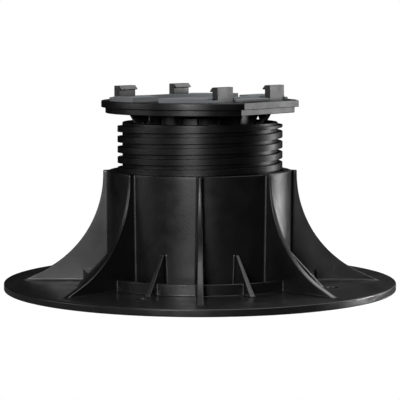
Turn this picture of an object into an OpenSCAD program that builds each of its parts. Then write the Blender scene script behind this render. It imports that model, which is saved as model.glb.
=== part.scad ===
// Adjustable joist pedestal: a flanged, finned base, a hollow threaded column that screws up and
// down in it, and a self-levelling joist head with rubber grip pads.
// Millimetres, +Z up. The origin is the centre of the flange's underside. +Y runs along the joist.

/* [Base] */
// Outer radius of the round flange
flange_r = 100; // [96:0.5:120]
// Thickness of the flange
flange_t = 3.6; // [2.6:0.1:5]
// Height of the threaded tube, from the ground
base_h = 60.2; // [56:0.2:70]
// Wall of the tube outside its thread
tube_wall = 4.15; // [3:0.05:6]
// Turn of the base under the head, in degrees
base_turn = -11.5; // [-22.5:0.5:22.5]

/* [Fins] */
// Number of tall concave fins, an even number, with one small gusset between each two
fin_count = 8; // [6:2:10]
// How far a fin stands out of the tube at its top
fin_top_out = 2.9; // [2:0.1:5]
// Length of the upright stretch at a fin's top
fin_upright = 1.7; // [1:0.1:5]
// Radius of a fin's concave edge
fin_arc_r = 55.8; // [54:0.2:57]
// Slope of a fin's straight foot, in degrees
fin_slope = 24.5; // [20:0.5:30]
// Thickness of a fin at its top
fin_t_top = 1.6; // [1.2:0.1:2.4]
// Thickness of a fin at the flange
fin_t_foot = 3.3; // [2.5:0.1:4.5]
// Radius of the fillet between a fin and the tube
fin_root_r = 1.5; // [0.8:0.1:2]
// Height of a gusset above the flange
gusset_h = 18.2; // [10:0.1:24]
// How far a gusset reaches out of the tube
gusset_out = 19.8; // [14:0.1:21]
// Thickness of a gusset
gusset_t = 2; // [1.4:0.1:3]

/* [Low wall and fixing holes] */
// Height of the low round wall above the flange
wall_h = 5.6; // [3:0.1:9]
// Thickness of the low wall
wall_t = 3; // [2:0.1:4]
// How far the outside of the low wall stands off from the tube
wall_out = 12.4; // [9:0.1:13]
// Radius of a fixing hole in the flange
fix_hole_r = 2.6; // [2:0.1:3.2]
// Radius of the circle of fixing holes
fix_circle_r = 71.5; // [71:0.5:90]
// Width of a notch in the flange's rim
notch_w = 1.4; // [0.8:0.1:3]
// Depth of a notch in the flange's rim
notch_d = 0.7; // [0.4:0.1:1.2]

/* [Thread] */
// Radius of the column's core
core_r = 39.5; // [38:0.1:42]
// Height of the thread's ridge
thread_depth = 2.5; // [1.8:0.1:3]
// Rise of the thread in one turn
pitch = 5.23; // [4.8:0.01:7]
// Width of the ridge at its crest
crest_w = 3; // [2.4:0.1:3]
// Width of the ridge at its root
root_w = 3.5; // [3.1:0.1:3.6]
// Running clearance between the two threads, round and along
thread_gap = 0.32; // [0.2:0.01:0.35]
// Turns of thread inside the tube
nut_turns = 3.6; // [2:0.1:4]

/* [Column] */
// Height of the column
column_h = 62; // [60:0.5:70]
// How far the column's rim stands above the tube
column_out = 24.6; // [12:0.2:36]
// Wall of the column
column_wall = 2.5; // [2:0.1:3]
// Depth of the head's seat below the rim
seat_drop = 11.2; // [11:0.1:13]
// Thickness of the ledge that carries the seat ring
ledge_t = 2.5; // [2:0.1:4]
// Width of the ledge
ledge_w = 8.8; // [6:0.1:9]

/* [Seat ring] */
// Height of the seat ring
ring_h = 8; // [6:0.1:9]
// Running clearance round, under and inside the seat ring
seat_gap = 0.3; // [0.2:0.05:0.5]

/* [Head] */
// Gap between the column's rim and the head
head_gap = 4.6; // [4:0.1:8]
// Radius of the head's plate
plate_r = 50.15; // [48:0.05:54]
// Thickness of the plate
plate_t = 3.35; // [2.5:0.05:5]
// Depth of the rim under the plate
rim_h = 2.95; // [2:0.05:5]
// How far the rim stands in from the plate's edge
rim_in = 2.1; // [1.5:0.1:3]
// Wall of the rim
rim_wall = 2.2; // [1.6:0.1:3]
// Distance of the plate's flat side from the axis
flat_side = 42.9; // [41:0.1:46]
// Radius of the hole in the middle of the plate
plate_hole_r = 11; // [8:0.5:15]

/* [Levelling ball] */
// Radius of the ribbed ball
ball_r = 40.5; // [39:0.1:41]
// Height of the ball's centre above the plate
ball_rise = 11.3; // [10:0.1:12]
// Number of ribs in the ball
rib_count = 20; // [16:4:28]
// Thickness of a rib
rib_t = 1.1; // [0.9:0.1:1.8]
// Width of a rib's outer strip at the foot of its opening
rib_strip = 1.2; // [1:0.1:3]
// Width of that strip at the head of the opening
rib_shoulder = 6.2; // [5:0.1:7]
// Outer radius of the drum inside the ribs' openings
drum_r = 25.4; // [24:0.1:27]
// Outer radius of the hub
hub_r = 20; // [18:0.1:21]
// Wall of the hub
hub_wall = 2; // [1.5:0.1:3]
// Number of snap fingers under the hub
finger_count = 4; // [3:1:5]
// How far a snap finger's hook reaches out
finger_hook = 5.4; // [4.5:0.1:5.6]
// Height of a snap finger's hook
finger_hook_h = 2.6; // [2:0.1:4]

/* [Joist clips] */
// Width of the joist that the clips hold
joist_w = 55.8; // [50:0.1:58]
// Distance between the clips along the joist
clip_spacing = 48.8; // [44:0.1:52]
// Width of a clip
clip_w = 13.7; // [10:0.1:16]
// Thickness of a clip
clip_t = 2.92; // [2:0.01:3.5]
// Height of a clip above the plate
clip_h = 7.56; // [6:0.01:12]
// How far a clip's hook reaches in
hook_in = 1.4; // [0.8:0.1:2]
// Height of a clip's hook
hook_h = 2.2; // [1.5:0.1:3]

/* [Grip pads] */
// Radius of the ring of pads
pad_r = 46; // [44:0.1:47]
// Height of the pads that carry the joist
pad_h = 2.25; // [1.5:0.05:3.5]
// Height of the pads outside the clips
pad_low_h = 1.35; // [0.8:0.05:1.45]
// Radius of the round opening between the pads
pad_hole_r = 25; // [20:0.5:26]
// Half width of the channel between the pads
channel_half = 7.75; // [5:0.05:10]
// Skew of that channel against the joist, in degrees
channel_skew = 2.4; // [0:0.1:4]
// Gap between the plate's flat side and the pads
pad_margin = 9; // [7:0.1:10]
// Width of the window beside each clip
window_in = 5.3; // [4:0.1:6]
// How far that window reaches past the clip towards the middle
window_near = 5; // [3:0.1:7]
// How far that window reaches past the clip towards the edge
window_far = 1.2; // [0.8:0.1:2]

/* [Hidden] */
$fn = 96;
lap = 0.5;                  // how far joined bodies reach into each other
cut = 1;                    // how far a cutting body reaches past a face
thread_steps = 60;          // facets in one turn of the thread
runout = 30;                // degrees over which a thread's end fades
runout_min = 0.04;          // part of the ridge's height that is left at its very end
thread_turn = 48.5;         // a direction through which the thread's last turn goes, in degrees
thread_drop = 0.75;         // depth of the ridge's middle below the column's rim in that direction
thread_top = 1.4;           // depth below the rim at which the thread is cut off level
thread_least = 0.35;        // height that is left of the cut ridge where it ends
rim_ease = 0.6;             // easing of the flange's rim
hole_count = fin_count / 2; // fixing holes, one in every other bay
notch_turn = 14.5;          // turn of a rim notch from the middle of its bay, in degrees
rib_turn = -2.5;            // turn of the first rib, in degrees
rib_rise = 0.6;             // how far the ribs under the plate stay above the rim's edge
open_drop = 0.6;            // how far the openings in the ribs reach below the column's rim
drum_drop = 1;              // how far the drum reaches below the openings
finger_drop = 1.7;          // clearance under the seat ring for a tilting snap finger
finger_ease = 1;            // slope on a snap finger's hook
clip_lip = 0.3;             // upright part of a clip's hook
slot_gap = 1.6;             // how far the slot under a clip's hook reaches past the hook
pad_past = 0.4;             // how far the high rubber reaches past the joist's side
clip_room = 0.5;            // room between a clip's back and the rubber behind it
black = [0.06, 0.06, 0.065];
dark = [0.1, 0.1, 0.11];
grey = [0.6, 0.61, 0.63];

crest_r = core_r + thread_depth;
bore_r = crest_r + thread_gap;
tube_r = bore_r + tube_wall;
tube_mid_r = bore_r + tube_wall / 2;
rim_z = base_h + column_out;
column_z = rim_z - column_h;
column_bore_r = core_r - column_wall;
ledge_z = rim_z - seat_drop - seat_gap;
ring_z = rim_z - seat_drop;
head_z = rim_z + head_gap;
plate_z = head_z + rim_h;
top_z = plate_z + plate_t;
ball_z = top_z + ball_rise;

fin_top_r = tube_r + fin_top_out;
fin_centre_r = fin_top_r + fin_arc_r;
fin_centre_z = base_h - fin_upright;
fin_foot_r = fin_centre_r - fin_arc_r * sin(fin_slope);
fin_foot_z = fin_centre_z - fin_arc_r * cos(fin_slope);
fin_tip_r = fin_foot_r + (fin_foot_z - flange_t + lap) / tan(fin_slope);

rib_step = 360 / rib_count;
rim_r = plate_r - rim_in;
rib_foot_z = ring_z + 2 * lap;
ball_h = plate_z - rib_foot_z + lap;
open_low = rim_z - open_drop;
open_high = head_z + rib_rise;
finger_top_z = ring_z - finger_drop;
clip_in = joist_w / 2;
clip_y = clip_spacing / 2;

// Height of the middle of the column's ridge at an angle counted on over the turns
function ridge_z(a) = rim_z - thread_drop + pitch * (a - thread_turn) / 360;

// Angle at which the middle of the column's ridge has a height
function ridge_angle(z) = thread_turn + 360 * (z - rim_z + thread_drop) / pitch;

// Width of the column's ridge at a radius
function ridge_w(r) = root_w - (root_w - crest_w) * (r - core_r) / thread_depth;

// Width of the base's ridge at a radius: what the column's ridge and the clearances leave
function nut_w(r) = pitch - ridge_w(r) - 2 * thread_gap;

// Radius of the ball at a height
function ball_edge(z) = sqrt(pow(ball_r, 2) - pow(ball_z - z, 2));

// One helical ridge between two angles. The heights of its middle are those of the column's ridge
// plus shift, foot_r is where it is rooted, and no point of it lies above top.
module ridge(from, to, shift, foot_r, tip_r, foot_w, tip_w, top) {
    count = round((to - from) * thread_steps / 360);
    angles = [for (i = [0:count]) from + (to - from) * i / count];
    points = [for (a = angles)
        let (fade = min(1, runout_min + min(a - from, to - a) / runout),
             r = foot_r + (tip_r - foot_r) * fade,
             z = ridge_z(a) + shift)
        each [[foot_r * cos(a), foot_r * sin(a), z - foot_w / 2],
              [r * cos(a), r * sin(a), z - tip_w / 2],
              [r * cos(a), r * sin(a), min(z + tip_w / 2, top)],
              [foot_r * cos(a), foot_r * sin(a), min(z + foot_w / 2, top)]]];
    sides = [for (i = [0:count - 1], k = [0:3])
        each [[4 * i + k, 4 * i + (k + 1) % 4, 4 * i + 4 + k],
              [4 * i + (k + 1) % 4, 4 * i + 4 + (k + 1) % 4, 4 * i + 4 + k]]];
    ends = [[2, 1, 0], [3, 2, 0], [for (k = [0:2]) 4 * count + k], [for (k = [0, 2, 3]) 4 * count + k]];
    faces = concat(sides, ends);
    polyhedron(points, tip_r > foot_r ? faces : [for (f = faces) [f[2], f[1], f[0]]]);
}

// Repeats its children in a ring
module ring_of(count, turn = 0) {
    for (i = [0:count - 1]) rotate([0, 0, turn + 360 * i / count]) children();
}

// Stands an outline, drawn as radius against height, up as a wall of the given thickness
module upright_wall(t) {
    rotate([90, 0, 0]) linear_extrude(t, center = true) children();
}

// Outline of a tall fin: an upright edge, a concave arc and a straight foot
module fin_outline() {
    difference() {
        polygon([[tube_mid_r, flange_t - lap], [fin_tip_r, flange_t - lap],
                 [fin_foot_r, fin_foot_z], [fin_foot_r, fin_centre_z],
                 [fin_top_r, fin_centre_z], [fin_top_r, base_h], [tube_mid_r, base_h]]);
        translate([fin_centre_r, fin_centre_z]) circle(fin_arc_r);
    }
}

// Tall fin, thicker towards the flange
module fin() {
    intersection() {
        upright_wall(2 * fin_t_foot) fin_outline();
        rotate([90, 0, 90]) linear_extrude(flange_r)
            polygon([[-fin_t_foot / 2, flange_t - lap], [fin_t_foot / 2, flange_t - lap],
                     [fin_t_top / 2, base_h], [-fin_t_top / 2, base_h]]);
    }
}

// Fillets that run up both sides of a fin's root
module fin_root() {
    half = fin_t_top / 2;
    reach = sqrt(pow(tube_r + fin_root_r, 2) - pow(half + fin_root_r, 2));
    translate([0, 0, flange_t - lap]) linear_extrude(base_h - flange_t + lap)
        difference() {
            polygon([[tube_mid_r, -half - fin_root_r], [reach, -half - fin_root_r],
                     [reach, half + fin_root_r], [tube_mid_r, half + fin_root_r]]);
            for (side = [-1, 1]) translate([reach, side * (half + fin_root_r)]) circle(fin_root_r);
        }
}

// Small straight gusset between two fins
module gusset() {
    rise = gusset_h / gusset_out;
    upright_wall(gusset_t)
        polygon([[tube_mid_r, flange_t - lap], [tube_r + gusset_out + lap / rise, flange_t - lap],
                 [tube_mid_r, flange_t + gusset_h + (tube_r - tube_mid_r) * rise]]);
}

// Low round wall that runs through the fins and gussets
module low_wall() {
    wall_r = tube_r + wall_out;
    translate([0, 0, flange_t - lap]) difference() {
        cylinder(r = wall_r, h = wall_h + lap);
        translate([0, 0, -cut]) cylinder(r = wall_r - wall_t, h = wall_h + lap + 2 * cut);
    }
}

// Flange with an eased rim
module flange() {
    rotate_extrude()
        polygon([[bore_r, 0], [flange_r - rim_ease, 0], [flange_r, rim_ease],
                 [flange_r, flange_t - rim_ease], [flange_r - rim_ease, flange_t], [bore_r, flange_t]]);
}

module base() {
    nut_top = base_h - root_w / 2;
    nut_end = ridge_angle(nut_top) + 180;
    color(black) {
        rotate([0, 0, base_turn]) difference() {
            union() {
                flange();
                difference() {
                    cylinder(r = tube_r, h = base_h);
                    translate([0, 0, -cut]) cylinder(r = bore_r, h = base_h + 2 * cut);
                }
                ring_of(fin_count) fin();
                ring_of(fin_count) fin_root();
                ring_of(fin_count, 180 / fin_count) gusset();
                low_wall();
            }
            ring_of(hole_count, 180 / fin_count) translate([fix_circle_r, 0, -cut])
                cylinder(r = fix_hole_r, h = flange_t + 2 * cut);
            for (side = [-1, 1]) ring_of(hole_count, 540 / fin_count + notch_turn * side)
                translate([flange_r - notch_d, -notch_w / 2, -cut])
                    cube([notch_d + cut, notch_w, cut + notch_d]);
        }
        ridge(nut_end - 360 * nut_turns, nut_end, -pitch / 2, bore_r + lap, core_r + thread_gap,
              nut_w(bore_r + lap), nut_w(core_r + thread_gap), base_h);
    }
}

// Hollow column, open at both ends, with a ledge inside for the seat ring
module threaded_column() {
    color(black) {
        rotate_extrude()
            polygon([[column_bore_r, column_z], [core_r, column_z], [core_r, rim_z],
                     [column_bore_r, rim_z], [column_bore_r, ledge_z],
                     [column_bore_r - ledge_w, ledge_z], [column_bore_r - ledge_w, ledge_z - ledge_t],
                     [column_bore_r, ledge_z - ledge_t]]);
        ridge(ridge_angle(column_z + root_w / 2 + lap),
              ridge_angle(rim_z - thread_top + crest_w / 2 - thread_least), 0, core_r - lap, crest_r,
              ridge_w(core_r - lap), crest_w, rim_z - thread_top);
    }
}

// Ring with a spherical seat for the ribbed ball
module seat_ring() {
    color(dark) difference() {
        translate([0, 0, ring_z]) cylinder(r = column_bore_r - seat_gap, h = ring_h);
        translate([0, 0, ball_z]) sphere(ball_r + seat_gap);
    }
}

// Solid disc with one flat side at +X
module flat_disc(r, h, flat) {
    difference() {
        cylinder(r = r, h = h);
        translate([flat, -r - cut, -cut]) cube([r, 2 * (r + cut), h + 2 * cut]);
    }
}

// Joist clip with a hook that points to the joist, standing at +X
module clip() {
    translate([0, 0, top_z]) rotate([90, 0, 0]) linear_extrude(clip_w, center = true)
        polygon([[clip_in, -lap], [clip_in + clip_t, -lap], [clip_in + clip_t, clip_h],
                 [clip_in, clip_h], [clip_in - hook_in, clip_h - hook_h + clip_lip],
                 [clip_in - hook_in, clip_h - hook_h], [clip_in, clip_h - hook_h]]);
}

// Puts its children at the four clips
module at_clips() {
    for (side = [0, 180], y = [-clip_y, clip_y]) rotate([0, 0, side]) translate([0, y, 0]) children();
}

// Outline of a rib: the round edge of the ball, an opening outside the drum, and an arm under the
// plate that reaches the rim
module rib_outline() {
    difference() {
        intersection() {
            translate([0, ball_z]) circle(ball_r);
            translate([hub_r - hub_wall / 2, rib_foot_z]) square([ball_r, ball_h]);
        }
        polygon([[drum_r - hub_wall / 2, open_low], [ball_edge(open_low) - rib_strip, open_low],
                 [ball_edge(open_high) - rib_shoulder, open_high],
                 [drum_r - hub_wall / 2, open_high]]);
    }
    translate([hub_r - hub_wall / 2, open_high]) square([plate_r, plate_z + lap - open_high]);
}

// The ball's ribs, which end inside the rim
module ribs() {
    intersection() {
        translate([0, 0, rib_foot_z]) flat_disc(rim_r - lap, ball_h, flat_side - rim_in - lap);
        ring_of(rib_count, rib_turn) upright_wall(rib_t) rib_outline();
    }
}

// Hub, which goes on below the ribs as snap fingers that hold the ball down in the seat ring
module hub() {
    hook_z = finger_top_z - finger_hook_h;
    slot = 360 / finger_count - 2 * rib_step;
    difference() {
        translate([0, 0, hook_z]) cylinder(r = hub_r, h = plate_z + lap - hook_z);
        translate([0, 0, hook_z - cut]) cylinder(r = hub_r - hub_wall, h = plate_z - hook_z + 2 * cut);
        ring_of(finger_count, rib_turn + 2.5 * rib_step) rotate_extrude(angle = slot)
            translate([hub_r - hub_wall - cut, hook_z - cut])
                square([hub_wall + 2 * cut, rib_foot_z - hook_z + cut]);
    }
    ring_of(finger_count, rib_turn + rib_step) rotate_extrude(angle = rib_step)
        polygon([[hub_r - lap, hook_z], [hub_r, hook_z],
                 [hub_r + finger_hook, finger_top_z - finger_ease],
                 [hub_r + finger_hook, finger_top_z], [hub_r - lap, finger_top_z]]);
}

// Drum that hangs from the plate between the hub and the ribs' openings
module drum() {
    low = open_low - drum_drop;
    difference() {
        translate([0, 0, low]) cylinder(r = drum_r, h = plate_z + lap - low);
        translate([0, 0, low - cut]) cylinder(r = drum_r - hub_wall, h = plate_z - low + 2 * cut);
    }
}

// Rim under the plate
module rim() {
    translate([0, 0, head_z]) difference() {
        flat_disc(rim_r, rim_h + lap, flat_side - rim_in);
        translate([0, 0, -cut]) flat_disc(rim_r - rim_wall, rim_h + lap + 2 * cut,
                                          flat_side - rim_in - rim_wall);
    }
}

module joist_head() {
    color(black) {
        translate([0, 0, plate_z]) difference() {
            flat_disc(plate_r, plate_t, flat_side);
            translate([0, 0, -cut]) cylinder(r = plate_hole_r, h = plate_t + 2 * cut);
            at_clips() translate([clip_in - hook_in - slot_gap, -clip_w / 2, -cut])
                cube([hook_in + slot_gap, clip_w, plate_t + 2 * cut]);
        }
        at_clips() clip();
        rim();
        ribs();
        drum();
        hub();
    }
}

// Windows in the pads beside and behind the clips
module pad_windows(out) {
    near = clip_w / 2 + window_near;
    far = clip_w / 2 + window_far;
    for (y = [-1, 1]) translate([clip_in - window_in, y > 0 ? clip_y - near : -clip_y - far, -cut])
        cube([window_in + out, near + far, pad_h + 2 * cut]);
}

// Both heights of the rubber on the +X side of the joist, before it is trimmed
module pad_body(low_x) {
    difference() {
        union() {
            intersection() {
                cylinder(r = pad_r, h = pad_h);
                translate([0, -plate_r, 0]) cube([clip_in + pad_past, 2 * plate_r, pad_h]);
            }
            intersection() {
                cylinder(r = pad_r, h = pad_low_h);
                translate([0, -plate_r, 0]) cube([low_x, 2 * plate_r, pad_low_h]);
            }
        }
        translate([0, 0, -cut]) cylinder(r = pad_hole_r, h = pad_h + 2 * cut);
        rotate([0, 0, -channel_skew]) translate([-plate_r, -2 * plate_r, -cut])
            cube([plate_r + channel_half, 4 * plate_r, pad_h + 2 * cut]);
    }
}

// Rubber on the plate's round side
module grip_pad_round() {
    color(grey) translate([0, 0, top_z]) rotate([0, 0, 180]) difference() {
        pad_body(pad_r);
        pad_windows(clip_t + clip_room);
    }
}

// Rubber on the plate's flat side
module grip_pad_flat() {
    color(grey) translate([0, 0, top_z]) difference() {
        pad_body(flat_side - pad_margin);
        pad_windows(clip_t + pad_margin);
    }
}

base();
threaded_column();
seat_ring();
joist_head();
grip_pad_round();
grip_pad_flat();
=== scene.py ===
"""Looks of an adjustable raised floor pedestal: finned base, threaded column and self-levelling head.

Lengths in the classes are millimetres, as on a maker's drawing, and meshes are made in metres in the
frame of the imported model: +Z up, +Y along the joist, the flange's underside at zero height.
"""

import logging
import math
from dataclasses import dataclass, field
from enum import Enum
from typing import Iterable, Sequence

import bmesh
import bpy
from mathutils import Matrix, Vector
from mathutils.geometry import delaunay_2d_cdt


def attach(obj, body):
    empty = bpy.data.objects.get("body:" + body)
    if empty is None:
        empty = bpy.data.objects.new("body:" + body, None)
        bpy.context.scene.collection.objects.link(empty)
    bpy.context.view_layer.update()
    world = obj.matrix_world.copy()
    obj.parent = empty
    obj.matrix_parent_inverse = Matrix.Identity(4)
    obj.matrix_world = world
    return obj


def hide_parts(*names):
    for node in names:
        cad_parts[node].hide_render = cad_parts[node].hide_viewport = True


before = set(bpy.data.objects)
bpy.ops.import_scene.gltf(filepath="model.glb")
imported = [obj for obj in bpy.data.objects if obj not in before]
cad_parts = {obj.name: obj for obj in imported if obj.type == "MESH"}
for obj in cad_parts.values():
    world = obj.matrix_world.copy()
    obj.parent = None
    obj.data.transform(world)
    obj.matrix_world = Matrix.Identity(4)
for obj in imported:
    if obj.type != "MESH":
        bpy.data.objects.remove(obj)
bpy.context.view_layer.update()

log = logging.getLogger("pedestal")

MM = 0.001
RIM_STEPS, WALL_STEPS, PLATE_STEPS, RING_STEPS, BORE_STEPS = 288, 192, 160, 144, 96
Point2 = tuple[float, float]
Point3 = tuple[float, float, float]
Loop = list[Point2]
Ring = list[Point3]


# ---------------------------------------------------------------- outlines


def arc(centre: Point2, radius: float, start: float, end: float, steps: int) -> Loop:
    """Points on a circular arc.

    Args:
        centre: middle of the circle.
        radius: its radius.
        start: first angle in degrees.
        end: last angle in degrees.
        steps: number of chords.

    Returns:
        steps + 1 points, both ends included.
    """
    angles = [math.radians(start + (end - start) * i / steps) for i in range(steps + 1)]
    return [(centre[0] + radius * math.cos(a), centre[1] + radius * math.sin(a)) for a in angles]


def circle(radius: float, steps: int) -> Loop:
    """A closed circle about the origin, counted anticlockwise."""
    return arc((0.0, 0.0), radius, 0.0, 360.0, steps)[:-1]


def oblong(x0: float, x1: float, y0: float, y1: float) -> Loop:
    """An oblong between two distances across and two up, anticlockwise."""
    return [(x0, y0), (x1, y0), (x1, y1), (x0, y1)]


def flat_circle(radius: float, flat: float, steps: int) -> Loop:
    """A circle with one flat side.

    Args:
        radius: radius of the circle.
        flat: distance of the flat side from the middle, on the +X side.
        steps: number of chords in the round part.

    Returns:
        The outline, anticlockwise, starting at the flat side's upper corner.
    """
    corner = math.degrees(math.acos(flat / radius))
    return arc((0.0, 0.0), radius, corner, 360.0 - corner, steps)


def round_corners(loop: Loop, radius: float, steps: int, sharpest: float = 25.0) -> Loop:
    """Rounds every corner of an outline that turns by more than an angle.

    Args:
        loop: closed outline.
        radius: radius of the rounding.
        steps: chords in each rounding.
        sharpest: turn in degrees below which a corner is left alone.

    Returns:
        The eased outline.
    """
    out: Loop = []
    count = len(loop)
    for i, p in enumerate(loop):
        here = Vector(p)
        back = Vector(loop[i - 1]) - here
        ahead = Vector(loop[(i + 1) % count]) - here
        turn = math.pi - back.angle(ahead)
        if math.degrees(turn) < sharpest:
            out.append(p)
            continue
        reach = min(radius * math.tan(turn / 2), 0.45 * back.length, 0.45 * ahead.length)
        size = reach / math.tan(turn / 2)
        start = here + back.normalized() * reach
        end = here + ahead.normalized() * reach
        middle = (start + end) / 2 - here
        centre = here + middle.normalized() * math.hypot(reach, size)
        first = start - centre
        last = end - centre
        sweep = first.angle_signed(last)
        for k in range(steps + 1):
            q = first.copy()
            q.rotate(Matrix.Rotation(-sweep * k / steps, 2))
            out.append(tuple(centre + q))
    return out


def inset(loop: Loop, distance: float) -> Loop:
    """Moves an outline towards its material, which lies on its left, by a distance."""
    if abs(distance) < 1e-9:
        return list(loop)
    out: Loop = []
    count = len(loop)
    for i, (x, y) in enumerate(loop):
        ax, ay = x - loop[i - 1][0], y - loop[i - 1][1]
        bx, by = loop[(i + 1) % count][0] - x, loop[(i + 1) % count][1] - y
        la, lb = math.hypot(ax, ay) or 1.0, math.hypot(bx, by) or 1.0
        nx, ny = -ay / la - by / lb, ax / la + bx / lb
        size = math.hypot(nx, ny) or 1.0
        nx, ny = nx / size, ny / size
        lean = max(0.35, (-ay / la) * nx + (ax / la) * ny)
        out.append((x + nx * distance / lean, y + ny * distance / lean))
    return out


def turned(loop: Iterable[Point2], degrees: float) -> Loop:
    """An outline turned about the origin."""
    c, s = math.cos(math.radians(degrees)), math.sin(math.radians(degrees))
    return [(x * c - y * s, x * s + y * c) for x, y in loop]


def easing(size: float, steps: int) -> list[Point2]:
    """Pairs of inset and depth that round an edge, from its flat face to its side."""
    if size <= 0:
        return [(0.0, 0.0)]
    quarter = [math.pi / 2 * k / steps for k in range(steps + 1)]
    return [(size * (1 - math.sin(a)), size * (1 - math.cos(a))) for a in quarter]


# ---------------------------------------------------------------- mesh workshop


class Place(Enum):
    """How a flat outline is stood up in the model."""

    LEVEL = "level"
    UPRIGHT = "upright"


@dataclass
class Mesh:
    """Points and faces in millimetres that grow into one piece."""

    points: list[Point3] = field(default_factory=list)
    faces: list[tuple[int, ...]] = field(default_factory=list)

    def ring(self, points: Iterable[Point3]) -> range:
        """Adds points and returns their numbers."""
        start = len(self.points)
        self.points.extend(points)
        return range(start, len(self.points))

    def skin(self, rings: Sequence[range], closed: bool = False) -> None:
        """Joins closed rings of equal length with quads.

        Args:
            rings: the rings in order.
            closed: whether the last ring is joined to the first one too.
        """
        pairs = list(zip(rings, rings[1:])) + ([(rings[-1], rings[0])] if closed else [])
        for low, high in pairs:
            n = len(low)
            for i in range(n):
                j = (i + 1) % n
                self.faces.append((low[i], low[j], high[j], high[i]))

    def lid(self, loops: Sequence[Loop], rings: Sequence[range], upwards: bool) -> None:
        """Closes outlines, the first one outside and the rest holes, with one flat face.

        Args:
            loops: flat outlines, outer anticlockwise and holes clockwise.
            rings: numbers of their points.
            upwards: whether the face looks up.
        """
        flat = [Vector(p) for loop in loops for p in loop]
        names = [n for ring in rings for n in ring]
        edges, start = [], 0
        for loop in loops:
            n = len(loop)
            edges += [(start + i, start + (i + 1) % n) for i in range(n)]
            start += n
        _, _, triangles, sources, _, _ = delaunay_2d_cdt(flat, edges, [], 1, 1e-7)
        for t in triangles:
            ids = [sources[i][0] for i in t]
            middle = sum((flat[i] for i in ids), Vector((0.0, 0.0))) / 3
            if any(inside(middle, hole) for hole in loops[1:]):
                continue
            a, b, c = (flat[i] for i in ids)
            turn = (b - a).cross(c - a)
            if (turn > 0) != upwards:
                ids.reverse()
            self.faces.append(tuple(names[i] for i in ids))

    def prism(self, loops: Sequence[Loop], low: float, high: float, ease_low: float = 0.0,
              ease_high: float = 0.0, place: Place = Place.LEVEL, turn: float = 0.0,
              steps: int = 3) -> None:
        """Adds a plate of constant outline with eased edges.

        Args:
            loops: outlines, outer anticlockwise and holes clockwise.
            low: height of the lower face, or the near face's place along Y when upright.
            high: height of the upper face, or the far face's place.
            ease_low: rounding of the lower edges.
            ease_high: rounding of the upper edges.
            place: level, or upright with the outline drawn as distance against height.
            turn: turn about the Z axis in degrees.
            steps: chords in a rounding.
        """
        stations = [(i, low + d) for i, d in easing(ease_low, steps)]
        stations += [(i, high - d) for i, d in reversed(easing(ease_high, steps))]
        c, s = math.cos(math.radians(turn)), math.sin(math.radians(turn))

        def placed(x: float, y: float, z: float) -> Point3:
            if place is Place.UPRIGHT:
                x, y, z = x, -z, y
            return (x * c - y * s, x * s + y * c, z)

        ends = []
        for loop in loops:
            rings = []
            for move, z in stations:
                rings.append(self.ring(placed(x, y, z) for x, y in inset(loop, move)))
            self.skin(rings)
            ends.append((rings[0], rings[-1]))
        self.lid([inset(p, stations[0][0]) for p in loops], [e[0] for e in ends], False)
        self.lid([inset(p, stations[-1][0]) for p in loops], [e[1] for e in ends], True)

    def revolve(self, profile: Loop, steps: int, start: float = 0.0, sweep: float = 360.0) -> None:
        """Turns a closed outline of radius against height about the Z axis.

        Args:
            profile: the outline, anticlockwise.
            steps: chords in the sweep.
            start: first angle in degrees.
            sweep: angle that is swept; a whole turn gives a ring, less gives a closed sector.
        """
        whole = sweep >= 360.0
        rings = []
        for i in range(steps if whole else steps + 1):
            a = math.radians(start + sweep * i / steps)
            rings.append(self.ring((r * math.cos(a), r * math.sin(a), z) for r, z in profile))
        self.skin(list(reversed(rings)), closed=whole)
        if not whole:
            self.faces.append(tuple(rings[0]))
            self.faces.append(tuple(reversed(rings[-1])))

    def made(self, name: str) -> bpy.types.Object:
        """Turns the points and faces into an object at the origin, in metres."""
        data = bpy.data.meshes.new(name)
        data.from_pydata([(x * MM, y * MM, z * MM) for x, y, z in self.points], [], self.faces)
        data.validate()
        obj = bpy.data.objects.new(name, data)
        bpy.context.scene.collection.objects.link(obj)
        return obj


def inside(point: Vector, loop: Loop) -> bool:
    """Whether a point lies inside an outline."""
    hit = False
    for (ax, ay), (bx, by) in zip(loop, loop[1:] + loop[:1]):
        if (ay > point.y) != (by > point.y) and point.x < (bx - ax) * (point.y - ay) / (by - ay) + ax:
            hit = not hit
    return hit


def applied(obj: bpy.types.Object) -> bpy.types.Object:
    """Turns an object with modifiers into a plain mesh."""
    bpy.context.view_layer.update()
    evaluated = obj.evaluated_get(bpy.context.evaluated_depsgraph_get())
    plain = bpy.data.meshes.new_from_object(evaluated)
    obj.modifiers.clear()
    old = obj.data
    obj.data = plain
    plain.name = obj.name
    bpy.data.meshes.remove(old)
    return obj


def outward(obj: bpy.types.Object) -> None:
    """Merges doubled points of a closed piece and turns its faces outwards."""
    work = bmesh.new()
    work.from_mesh(obj.data)
    bmesh.ops.remove_doubles(work, verts=work.verts, dist=1e-7)
    bmesh.ops.recalc_face_normals(work, faces=work.faces)
    work.to_mesh(obj.data)
    work.free()


def shaded(obj: bpy.types.Object, sharp: float = 38.0) -> bpy.types.Object:
    """Shades a piece smooth between its sharp edges, with flat faces kept flat.

    Args:
        obj: the piece.
        sharp: angle in degrees from which an edge is sharp.

    Returns:
        The same piece.
    """
    obj.data.shade_smooth()
    obj.data.set_sharp_from_angle(angle=math.radians(sharp))
    weighted = obj.modifiers.new("even_shading", "WEIGHTED_NORMAL")
    weighted.keep_sharp = True
    weighted.weight = 80
    return applied(obj)


# ---------------------------------------------------------------- node trees


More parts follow.
